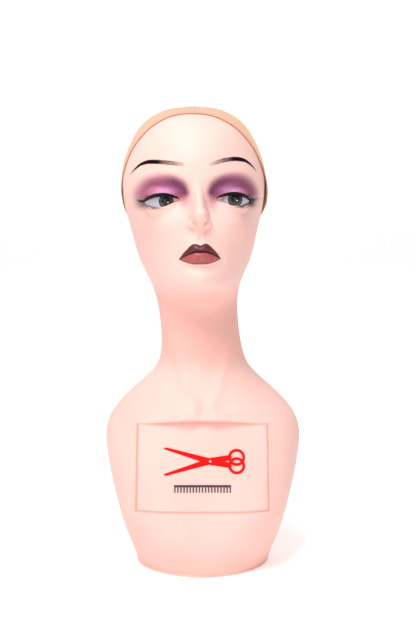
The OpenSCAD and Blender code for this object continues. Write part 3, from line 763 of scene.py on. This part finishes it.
# %% The skin's finish
def skin_finish():
    f = Finish("painted_vinyl", Roughness=0.42)
    cloudy = f.noise(14.0, 4.0, 0.6)
    grain = f.noise(900.0, 2.0, 0.6)
    strokes = f.noise(640.0, 2.0, 0.6, stretch=(0.4, 0.3, 2.0))
    tint = f.soft(cloudy, 0.3, 0.7)
    colour = f.mix(tint, srgb(240, 193, 183), srgb(243, 199, 189))
    # Painted shade: the blush field also darkens the base of the nose, and `deeper` darkens the neck and
    # the foot.
    blush_and_shade = f.math("MULTIPLY", f.math("ADD", f.field("blush_and_nose_shade"), f.field("deeper")), 0.25)
    colour = f.mix(blush_and_shade, colour, srgb(236, 160, 148))
    # Painted shade along the chest panel's grooves and under its upper wall.
    colour = f.mix(f.math("MULTIPLY", f.field("groove"), 0.75), colour, srgb(222, 138, 122))
    spray = f.soft(grain, 0.25, 0.75, 0.88, 1.06)
    haze = f.math("MULTIPLY", f.field("haze"), spray, clamp=True)
    colour = f.mix(haze, colour, srgb(180, 84, 126))
    colour = f.mix(f.math("MULTIPLY", f.field("shade"), spray, clamp=True), colour, srgb(112, 38, 82))
    pearl = f.soft(f.noise(1500.0, 1.0), 0.3, 0.8, 0.75, 1.1)
    shimmer = f.math("MULTIPLY", f.field("shimmer"), pearl, clamp=True)
    colour = f.mix(shimmer, colour, srgb(208, 150, 196))

    wisps = f.soft(strokes, 0.25, 0.75, 0.62, 1.0)
    solid = f.soft(f.field("brow_along"), 0.1, 0.5)
    hairy = f.math("MAXIMUM", solid, wisps)
    brow = f.math("MULTIPLY", f.soft(f.field("brow"), -0.7, 0.5), hairy)
    faint = f.soft(f.field("brow_along"), -0.03, 0.32, 0.35, 1.0)
    colour = f.mix(f.math("MULTIPLY", brow, faint), colour, srgb(12, 8, 8))

    smudge = f.math("MULTIPLY", f.field("smudge"), f.soft(grain, 0.3, 0.7, 0.7, 1.1), clamp=True)
    colour = f.mix(smudge, colour, srgb(52, 26, 30))
    colour = f.mix(f.soft(f.field("liner"), -0.25, 0.25), colour, srgb(20, 12, 14))
    colour = f.mix(f.math("MULTIPLY", f.field("tear"), 0.8), colour, srgb(224, 140, 150))

    lips = f.soft(f.field("lips"), -0.15, 0.3)
    rib = f.noise(700.0, 2.0, 0.6, stretch=(1.0, 0.3, 0.18))
    upper = f.mix(f.soft(rib, 0.35, 0.7), srgb(86, 34, 42), srgb(104, 44, 52))
    lower = f.mix(f.soft(rib, 0.35, 0.7), srgb(164, 76, 78), srgb(180, 90, 92))
    red = f.mix(f.soft(f.field("lip_above"), -0.9, 0.5), lower, upper)
    edge = f.math("MULTIPLY", f.soft(f.field("lips"), 2.6, 0.2), 0.65)
    red = f.mix(edge, red, srgb(112, 40, 46))
    line = f.soft(f.math("ABSOLUTE", f.field("lip_above")), 0.9, 0.1)
    red = f.mix(f.math("MULTIPLY", line, 0.85), red, srgb(54, 16, 22))
    colour = f.mix(lips, colour, red)
    f.set("Base Color", colour)

    dull = f.soft(f.noise(60.0, 4.0, 0.65), 0.3, 0.75, 0.52, 0.62)
    gloss = f.math("MULTIPLY", lips, 0.2)
    f.set("Roughness", f.math("SUBTRACT", dull, gloss))
    ink = f.math("MAXIMUM", brow, f.soft(f.field("liner"), -0.25, 0.25))
    f.set("Specular IOR Level", f.math("SUBTRACT", 0.36, f.math("MULTIPLY", ink, 0.3)))
    f.set("Subsurface Weight", 0.12)
    f.set("Subsurface Radius", (1.0, 0.45, 0.35))
    f.set("Subsurface Scale", 0.004)
    pebble = f.math("ADD", f.math("MULTIPLY", grain, 0.35), f.noise(170.0, 3.0, 0.5))
    f.bump(f.math("ADD", pebble, f.math("MULTIPLY", f.math("MULTIPLY", lips, rib), 1.4)), 0.00007)
    return f


skin_finish().on(bust_skin)


# %% The eyes' finish
def eye_finish():
    f = Finish("painted_eye", Roughness=0.09)
    x, z = f.field("iris_x"), f.field("iris_z")
    r = f.math("SQRT", f.math("ADD", f.math("MULTIPLY", x, x), f.math("MULTIPLY", z, z)))
    turn = f.math("ARCTAN2", z, x)
    polar = f.node("ShaderNodeCombineXYZ")
    f.put(polar.inputs[0], f.math("MULTIPLY", turn, 6.0))
    f.put(polar.inputs[1], f.math("MULTIPLY", r, 0.25))
    fibres = f.noise(4.2, 3.0, 0.7, vector=polar.outputs[0])
    iris = f.mix(f.soft(fibres, 0.3, 0.7), srgb(44, 34, 33), srgb(104, 88, 82))
    iris = f.mix(f.soft(r, 5.2, 7.9, 0.0, 0.85), iris, srgb(48, 38, 40))
    white = f.mix(f.soft(f.noise(90.0, 3.0), 0.35, 0.7), srgb(190, 186, 200), srgb(206, 201, 212))
    corner = f.soft(f.math("ABSOLUTE", x), 9.0, 19.0, 0.0, 0.35)
    white = f.mix(corner, white, srgb(206, 176, 184))
    colour = f.mix(f.soft(r, 8.2, 7.5), white, iris)
    colour = f.mix(f.soft(r, 5.15, 4.55), colour, srgb(8, 6, 7))
    glint_x, glint_z = f.math("SUBTRACT", x, 1.9), f.math("ADD", z, 1.1)
    glint = f.math("SQRT", f.math("ADD", f.math("MULTIPLY", glint_x, glint_x),
                                  f.math("MULTIPLY", glint_z, glint_z)))
    colour = f.mix(f.soft(glint, 0.8, 0.4), colour, srgb(250, 250, 252))
    f.set("Base Color", colour)
    f.set("Specular IOR Level", 0.3)
    f.set("Coat Weight", 0.35)
    f.set("Coat Roughness", 0.03)
    f.bump(f.noise(400.0, 2.0), 0.00001)
    return f


eye_finish().on(left_eye_ball, right_eye_ball)


# %% [markdown]
# ## Lashes
# False lashes are glued along both lids. The middle ones point forward, so that from the front
# only the dark lid line shows, and the outer ones are long and sweep sideways past the corner.

# %% The four strips of lashes
LASH = Finish("lash_fibre", srgb(30, 22, 22), Roughness=0.45)
LASH.set("Base Color", LASH.mix(LASH.noise(300.0), srgb(16, 11, 12), srgb(52, 38, 36)))


def lid_points(side, u, curve, drop, proud):
    """Points along a lid's edge, lying just in front of the skin."""
    w = through(curve, u) + drop
    face_x, z = side * (EYE_X + u), EYE_Z + w
    x = face_x + FACE_X
    t = np.interp(z, section(np.linspace(0, LAST, 4000))[:, 0], np.linspace(0, LAST, 4000))
    s = section(t)
    share = np.clip(np.abs(x) / s[:, 1], 0, 1)
    plain = -(s[:, 4] - (s[:, 4] - s[:, 2]) * (1 - share ** s[:, 5]) ** (1 / s[:, 5]))
    return np.stack([x, -(face_relief(face_x, z, plain) + proud), z], -1)


def make_lashes(name, side, upper):
    rng = np.random.default_rng(21 if upper else 8)
    count = 150 if upper else 54
    u = np.sort(rng.uniform(-14.5 if upper else 0.0, 18.6, count))
    outer = ease(u, -6, 19)
    curve, drop = (UPPER_LID, 1.0) if upper else (LOWER_LID, -0.9)
    roots = lid_points(side, u, curve, drop, -0.1)
    if upper:
        swing = mix(-0.1, 1.42, outer ** 1.4) + rng.normal(0, 0.1, count)
        rise = mix(0.12, 0.1, outer) + rng.normal(0, 0.12, count) * mix(0.4, 1.5, outer)
        length = mix(4.5, 12.5, outer) * rng.uniform(0.7, 1.05, count)
    else:
        swing = mix(0.15, 1.15, outer) + rng.normal(0, 0.12, count)
        rise = mix(-0.75, -0.55, outer) + rng.normal(0, 0.1, count)
        length = mix(3.0, 6.5, outer) * rng.uniform(0.75, 1.05, count)
    ways = np.stack([side * np.sin(swing) * np.cos(rise), -np.cos(swing) * np.cos(rise), np.sin(rise)], -1)
    ups = np.tile([0, 0, -1.0 if upper else 1.0], (count, 1))
    tips = posed(roots + ways)
    roots = posed(roots)
    return grow(name, roots, tips - roots, ups, length, LASH.material,
                Girth=0.021, Bow=0.16 if upper else 0.1, Tip=0.1, Spread=0.05, Steps=6, Sides=4, Seed=3)


lash_strips = {}
for word, side in (("left", 1), ("right", -1)):
    for row in ("upper", "lower"):
        lash_strips[f"{word}_{row}_lashes"] = make_lashes(f"{word}_{row}_lash_strip", side, row == "upper")
print("lashes:", {k: len(v.data.polygons) for k, v in lash_strips.items()})

# %% [markdown]
# ## The stretch cap
# The cap is two panels of thin knit, joined by a seam over the crown, with a narrow elastic
# binding at the edge. It hugs the head, and is wide enough everywhere to slide off along its path.
# Its edge runs from the hairline past the temples to the nape.

# %% Places on the cap
# (angle round the cap, height of the edge), where 90 is the hairline, 0 the side, -90 the nape
CAP_EDGE = [(-90, 354), (-60, 358), (-20, 374), (-2.5, 389), (4.5, 399), (10.5, 411), (15.5, 422.5),
            (20, 432), (23.5, 440.5), (28, 451), (33, 458.5), (39, 466.5), (44.5, 472.3), (51, 477),
            (57.5, 480.8), (64, 483.6), (71, 485.4), (80, 486.7), (90, 487)]
CAP_TWIST = 6.5
PULL_UP = math.radians(48)
CAP_GAP, CLOTH_T, BAND_W = 0.25, 0.5, 4.2
CAP_ROWS, CAP_COLS = 84, 121


def round_head(t, angle):
    """The bare head at place t and angle, where 0 is its left, 90 the front and 270 the back."""
    s = section(t)
    ahead = np.sin(angle) >= 0
    power = np.where(ahead, s[..., 5], np.minimum(s[..., 5], 2.3))
    c, n = np.cos(angle), np.sin(angle)
    depth = np.where(ahead, s[..., 4] - s[..., 2], s[..., 3] - s[..., 4])
    x = s[..., 1] * np.sign(c) * np.abs(c) ** (2 / power)
    y = s[..., 4] - np.sign(n) * depth * np.abs(n) ** (2 / power)
    return np.stack([x, y, s[..., 0]], -1)


def head_half(y, z):
    """Half the head's width at depth y and height z."""
    s = section_at_height(np.minimum(z, HEAD_TOP))
    depth = np.where(y < s[..., 4], s[..., 4] - s[..., 2], s[..., 3] - s[..., 4])
    share = np.clip(np.abs(y - s[..., 4]) / np.maximum(depth, 0.1), 0, 1)
    return np.where(z > HEAD_TOP, 0, s[..., 1] * (1 - share ** 2.1) ** (1 / 2.1))


def edge_place(angle):
    """Place t where the cap's edge crosses each angle."""
    turn = np.mod(np.degrees(angle) - CAP_TWIST + 90, 360)
    height = through(CAP_EDGE, 90 - np.abs(turn - 180))
    fine = np.linspace(20, LAST - 0.05, 6000)
    return np.interp(height, section(fine)[:, 0], fine)


def on_cap(t, angle, lift):
    """A point over the head at place t and angle, lift millimetres above the cap's inside."""
    t = np.minimum(t, LAST - 0.02)
    along = round_head(t, angle + 0.01) - round_head(t, angle - 0.01)
    up = round_head(np.minimum(t + 0.02, LAST - 0.005), angle) - round_head(t - 0.02, angle)
    out = np.cross(up, along)
    out /= np.maximum(np.linalg.norm(out, axis=-1, keepdims=True), 1e-9)
    p = round_head(t, angle)
    out *= np.sign(np.sum(out * (p - [0, 15, 430]), -1, keepdims=True))
    p = p + out * CAP_GAP
    path = np.max([head_half(p[..., 1] + d * math.cos(PULL_UP), p[..., 2] + d * math.sin(PULL_UP))
                   for d in range(0, 91, 6)], axis=0) + CAP_GAP
    wide = np.sign(p[..., 0]) * np.maximum(np.abs(p[..., 0]), path * ease(np.abs(p[..., 0]), 24, 34))
    p[..., 0] = wide
    return p + out * np.asarray(lift)[..., None]


EDGE_ANGLES = np.linspace(0, 2 * math.pi, 361)
EDGE_T = edge_place(EDGE_ANGLES)
EDGE_RISE = round_head(EDGE_T + 0.1, EDGE_ANGLES) - round_head(EDGE_T, EDGE_ANGLES)
EDGE_STEP = np.linalg.norm(EDGE_RISE, axis=-1) / 0.1
KNIT_R = 85


def cap_place(angle, up):
    """Place t on the cap, up millimetres above its edge."""
    turn = np.mod(angle, 2 * math.pi)
    return np.interp(turn, EDGE_ANGLES, EDGE_T) + up / np.interp(turn, EDGE_ANGLES, EDGE_STEP)


# %% The two knit panels
def wall_loop(rows, cols):
    """The rim of a grid, in order, as point numbers."""
    low, high = list(range(cols)), [(rows - 1) * cols + j for j in range(cols)]
    side_a, side_b = [i * cols for i in range(rows)], [i * cols + cols - 1 for i in range(rows)]
    return low[:-1] + side_b[:-1] + high[::-1][:-1] + side_a[::-1][:-1]


def make_panel(name, side):
    angle = np.linspace(math.pi / 2, 3 * math.pi / 2, CAP_COLS)
    angle = angle if side < 0 else math.pi - angle
    start = cap_place(angle, BAND_W - 1.4)
    k = np.linspace(0, 1, CAP_ROWS)[:, None]
    t = mix(start, LAST - 0.03, 1 - (1 - k) ** 1.15)
    across = np.broadcast_to(angle, t.shape)
    flat = on_cap(t, across, np.zeros(t.shape))
    seam = 0.3 * bump(np.minimum(np.abs(flat[..., 0]), 9), 1.7)
    rows_up = np.linalg.norm(np.diff(flat, axis=0), axis=-1).cumsum(0)
    rows_up = np.vstack([np.zeros((1, CAP_COLS)), rows_up])
    pucker = 0.16 * bump(rows_up, 7) * np.sin(across * 62)
    pucker = pucker + 0.1 * bump(flat[..., 0], 9) * np.sin(flat[..., 1] * 0.9)
    outer = on_cap(t, across, CLOTH_T + seam + pucker)
    inner = on_cap(t, across, 0.06 + 0 * t)
    n = t.size
    verts = posed(np.vstack([outer.reshape(-1, 3), inner.reshape(-1, 3)]))
    quads = np.array(round_quads(CAP_ROWS, CAP_COLS)).reshape(CAP_ROWS - 1, CAP_COLS, 4)
    quads = quads[:, :-1].reshape(-1, 4)
    loop = wall_loop(CAP_ROWS, CAP_COLS)
    walls = [[loop[i], loop[i - 1], n + loop[i - 1], n + loop[i]] for i in range(len(loop))]
    faces = quads.tolist() + (quads[:, ::-1] + n).tolist() + walls
    if side > 0:
        faces = [f[::-1] for f in faces]
    cloth = new_object(name, verts, faces)
    for label, values in (("knit_round", across * KNIT_R), ("knit_up", rows_up)):
        set_field(cloth, label, np.tile(values.ravel(), 2))
    sizes = np.cross(flat[1:, :-1] - flat[:-1, :-1], flat[:-1, 1:] - flat[:-1, :-1])
    return cloth, float(np.linalg.norm(sizes, axis=-1).sum()) * MM * MM


cap_left_cloth, left_area = make_panel("cap_left_cloth", 1)
cap_right_cloth, right_area = make_panel("cap_right_cloth", -1)
print("cap panels on the head, square metres:", round(left_area, 4), round(right_area, 4))


# %% The elastic binding
def make_binding():
    angle = np.linspace(0, 2 * math.pi, 361)[:-1]
    shape = np.array([(0.0, 0.3), (0.2, 0.7), (0.6, 0.95), (1.3, 1.05), (2.6, 1.05), (3.6, 1.0),
                      (4.15, 0.85), (4.3, 0.6), (4.2, 0.3), (3.4, -0.05), (2.0, -0.08), (0.7, -0.02)])
    t = np.stack([cap_place(angle, up) for up, _ in shape])
    lift = shape[:, 1][:, None] + 0.05 * np.sin(angle * 110) * (shape[:, 1][:, None] > 0.8)
    rings = on_cap(t, np.broadcast_to(angle, t.shape), lift)
    n, m = len(shape), len(angle)
    faces = []
    for k in range(n):
        for j in range(m):
            a, b = k * m + j, k * m + (j + 1) % m
            c, d = (k + 1) % n * m + (j + 1) % m, (k + 1) % n * m + j
            faces.append([a, b, c, d])
    band = new_object("cap_binding", posed(rings.reshape(-1, 3)), faces)
    set_field(band, "knit_round", np.tile(angle * KNIT_R, n))
    set_field(band, "knit_up", np.repeat(shape[:, 0], m))
    return band


cap_binding = make_binding()


# %% The cap's stitches
def make_stitches(name, material):
    rng = np.random.default_rng(4)
    angle = np.linspace(0, 2 * math.pi, 301)[:-1]
    roots, tips = [], []
    for k, (low, high) in enumerate(((2.7, 4.7), (4.7, 2.7))):
        a = angle + k * (angle[1] / 2)
        b = a + angle[1] / 2
        roots.append(on_cap(cap_place(a, low), a, np.full(a.shape, 1.05 if k == 0 else 0.6)))
        tips.append(on_cap(cap_place(b, high), b, np.full(a.shape, 0.6 if k == 0 else 1.05)))
    roots, tips = posed(np.vstack(roots)), posed(np.vstack(tips))
    ways = tips - roots + rng.normal(0, 0.08, roots.shape)
    ups = roots - posed(np.array([[0, 15, 430.0]]))
    return grow(name, roots, ways, ups, np.linalg.norm(ways, axis=1), material,
                Girth=0.05, Bow=0.16, Tip=1.0, Spread=0.02, Steps=4, Sides=5, Seed=5)


def knit_finish(name, light, dark):
    f = Finish(name, Roughness=0.85)
    cloth = f.node("ShaderNodeCombineXYZ")
    f.put(cloth.inputs[0], f.math("MULTIPLY", f.field("knit_round"), MM))
    f.put(cloth.inputs[1], f.math("MULTIPLY", f.field("knit_up"), MM))
    loops = f.noise(1100.0, 1.0, 0.5, stretch=(1.0, 0.45, 1.0), vector=cloth.outputs[0])
    wales = f.node("ShaderNodeTexWave", wave_type="BANDS", bands_direction="X")
    f.put(wales.inputs["Vector"], cloth.outputs[0])
    wales.inputs["Scale"].default_value = 230.0
    wales.inputs["Distortion"].default_value = 2.2
    wales.inputs["Detail Scale"].default_value = 5.0
    rows = f.math("ADD", f.math("MULTIPLY", wales.outputs["Fac"], 0.5), f.math("MULTIPLY", loops, 0.5))
    cloudy = f.soft(f.noise(45.0, 3.0), 0.3, 0.7)
    colour = f.mix(f.soft(rows, 0.25, 0.75), dark, light)
    colour = f.mix(f.math("MULTIPLY", cloudy, 0.2), colour, dark)
    return f, colour, rows


knit, knit_colour, knit_rows = knit_finish("stretch_knit", srgb(237, 194, 172), srgb(216, 166, 144))
knit.set("Base Color", knit_colour)
knit.set("Sheen Weight", 0.4)
knit.set("Sheen Roughness", 0.35)
knit.set("Sheen Tint", srgb(255, 216, 150))
knit.bump(knit_rows, 0.00025)
knit.on(cap_left_cloth, cap_right_cloth)

band, band_colour, band_rows = knit_finish("elastic_binding", srgb(236, 192, 166), srgb(206, 154, 130))
brown_edge = band.soft(band.field("knit_up"), 0.8, 0.4)
band.set("Base Color", band.mix(brown_edge, band_colour, srgb(208, 132, 94)))
band.set("Sheen Weight", 0.3)
band.set("Sheen Roughness", 0.4)
band.bump(band_rows, 0.0003)
band.on(cap_binding)

THREAD = Finish("cap_thread", srgb(206, 140, 104), Roughness=0.7)
THREAD.set("Base Color", THREAD.mix(THREAD.noise(500.0), srgb(190, 124, 90), srgb(222, 160, 122)))
cap_stitches = make_stitches("cap_stitches", THREAD.material)
print("cap stitches:", len(cap_stitches.data.polygons), "faces")


# %% [markdown]
# ## Base, badge and fixings
# These keep the design's own shapes, and only get a finish here.

# %% Finishes for the design's own nodes
def plain_finish(name, light, dark, scale, rough, depth, **more):
    """Two close tones, a roughness that varies, and a fine grain."""
    f = Finish(name)
    blotch = f.noise(scale, 4.0, 0.6)
    f.set("Base Color", f.mix(f.soft(blotch, 0.3, 0.7), light, dark))
    f.set("Roughness", f.soft(f.noise(scale * 2.5, 3.0), 0.25, 0.75, rough - 0.06, rough + 0.08))
    for label, value in more.items():
        f.set(label.replace("_", " "), value)
    f.bump(f.noise(scale * 18, 2.0), depth)
    return f


FILM = {"Specular_IOR_Level": 0.15}
# node, finish, light tone, dark tone, size of the blotches, roughness, depth of the grain, more
OWN_SHAPES = [
    ("emblem_scissors", "red_film", (238, 8, 6), (226, 3, 3), 60.0, 0.5, 0.00002, FILM),
    ("emblem_comb", "grey_film", (74, 72, 76), (62, 60, 64), 60.0, 0.36, 0.00002, {}),
    ("base_plate", "base_plastic", (240, 186, 172), (232, 174, 160), 22.0, 0.5, 0.00008, {}),
    ("screw_blocks", "block_plastic", (238, 232, 222), (228, 220, 208), 40.0, 0.55, 0.00006, {}),
    ("base_screws", "zinc", (196, 198, 200), (170, 172, 176), 160.0, 0.32, 0.00003, {"Metallic": 1.0}),
    ("non_slip_pad", "foam_rubber", (56, 55, 56), (42, 41, 42), 120.0, 0.85, 0.0002, {})]
for node, finish, light, dark, scale, rough, depth, more in OWN_SHAPES:
    plain_finish(finish, srgb(*light), srgb(*dark), scale, rough, depth, **more).on(NODES[node])

# %% [markdown]
# ## Joining the frame
# Every piece is attached to the body it moves with, and the design node that it stands for is hidden.
# The plan also lists the finish slot that each piece belongs to.

# %% Bodies, replaced nodes and slots
PLAN = [(bust_skin, "bust", "bust_shell", "shell"),
        (left_eye_ball, "bust", "left_eye", "eye"),
        (right_eye_ball, "bust", "right_eye", "eye"),
        (cap_left_cloth, "wig_cap", "cap_left_panel", "cap_fabric"),
        (cap_right_cloth, "wig_cap", "cap_right_panel", "cap_fabric"),
        (cap_binding, "wig_cap", "cap_edge_band", "cap_binding"),
        (cap_stitches, "wig_cap", "cap_edge_band", "cap_binding")]
PLAN += [(strip, "bust", node, "lash") for node, strip in lash_strips.items()]
for piece, body, node, slot in PLAN:
    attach(piece, body)
    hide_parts(node)

# %% [markdown]
# ## Floor, light and camera
# A white sweep stands behind and under the bust. The key light is high and to the left, so that the
# chin shades the neck. A weak front light and a top light fill in.

# %% The studio
def make_sweep():
    depth = [(-6.0, 0.0), (1.6, 0.0), (2.2, 0.05), (2.7, 0.3), (3.0, 0.8), (3.1, 1.6), (3.1, 6.0)]
    verts = [(x, y, z) for y, z in depth for x in (-7.0, 7.0)]
    faces = [(2 * i, 2 * i + 1, 2 * i + 3, 2 * i + 2) for i in range(len(depth) - 1)]
    mesh = bpy.data.meshes.new("floor")
    mesh.from_pydata(verts, [], faces)
    mesh.polygons.foreach_set("use_smooth", [True] * len(faces))
    sweep = bpy.data.objects.new("floor", mesh)
    bpy.context.scene.collection.objects.link(sweep)
    paper = Finish("white_paper", srgb(248, 248, 248), Roughness=0.9)
    paper.set("Emission Color", (1.0, 1.0, 1.0, 1.0))
    paper.set("Emission Strength", 0.36)
    paper.on(sweep)
    return sweep


def soft_light(name, place, target, size, watts, colour=(1, 1, 1)):
    lamp = bpy.data.lights.new(name, "AREA")
    lamp.shape, lamp.size, lamp.size_y = "RECTANGLE", size[0], size[1]
    lamp.energy, lamp.color = watts, colour
    obj = bpy.data.objects.new(name, lamp)
    obj.location = place
    obj.rotation_euler = (Vector(target) - Vector(place)).to_track_quat("-Z", "Y").to_euler()
    bpy.context.scene.collection.objects.link(obj)
    return obj


floor = make_sweep()
FACE = (0.0, 0.0, 0.38)
soft_light("key", (-0.42, -1.0, 1.88), FACE, (0.9, 0.9), 35)
soft_light("fill", (0.7, -2.1, 0.65), FACE, (1.0, 1.0), 5)
soft_light("top", (0.0, -0.2, 1.9), FACE, (1.2, 1.2), 2)

world = bpy.data.worlds.new("white_studio")
bpy.context.scene.world = world
world.use_nodes = True
world.node_tree.nodes["Background"].inputs["Color"].default_value = (1.0, 1.0, 1.0, 1.0)
world.node_tree.nodes["Background"].inputs["Strength"].default_value = 0.35

scene = bpy.context.scene
scene.view_settings.view_transform = "Standard"
scene.view_settings.look = "None"
lens = bpy.data.cameras.new("camera")
lens.lens, lens.sensor_width, lens.clip_start, lens.clip_end = 66.87, 36.0, 0.05, 50.0
camera = bpy.data.objects.new("camera", lens)
camera.location = (0.0057, -1.28, 0.3505)
camera.rotation_euler = (math.radians(90 - 3.407), 0, 0)
scene.collection.objects.link(camera)
scene.camera = camera
